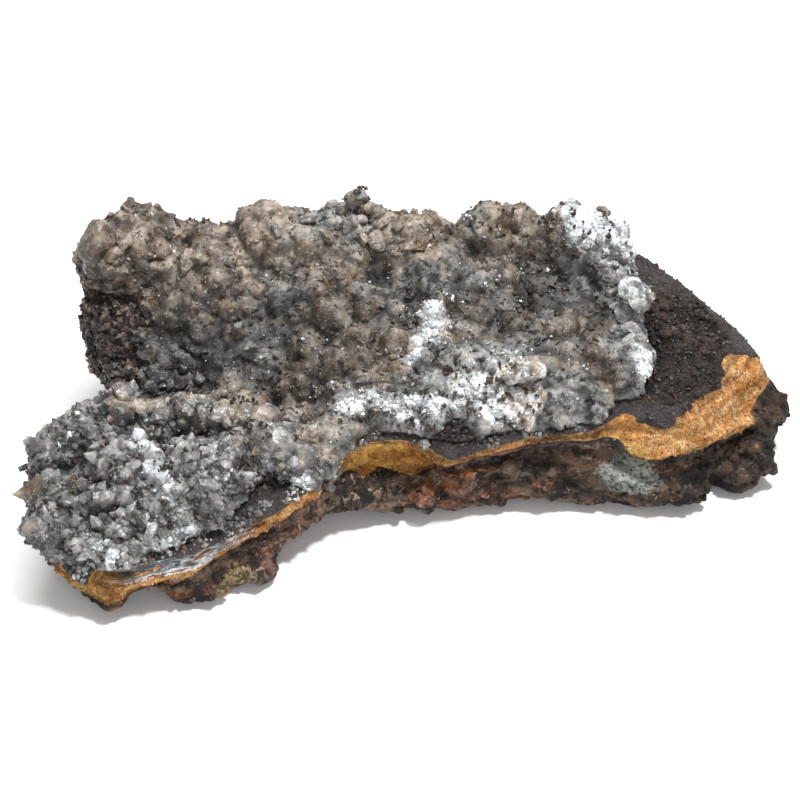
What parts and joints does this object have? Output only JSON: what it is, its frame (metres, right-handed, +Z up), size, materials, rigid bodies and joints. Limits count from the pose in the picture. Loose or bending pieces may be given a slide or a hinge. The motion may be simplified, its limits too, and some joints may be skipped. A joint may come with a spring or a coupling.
{
  "type": "chalcedony specimen",
  "caption": "Rough crust of smoky and frosted chalcedony crystals on a layered plate of dark ironstone and ochre.",
  "frame": {"origin": "middle of the underside of the specimen's box, on the surface that it stands on", "axes": "+X along the specimen to its bare domed end, +Y to its high rear edge, +Z up"},
  "size_m": [0.1688, 0.0982, 0.0483],
  "materials": {
    "ironstone": "dark goethite skin over sandy ochre and a porous brown mass, all matt",
    "chalcedony": "translucent smoky to frosted crystals, glassy faces"
  },
  "bodies": {
    "root": {"ironstone_matrix": "ironstone", "chalcedony_crust": "chalcedony"}
  },
  "joints": []
}
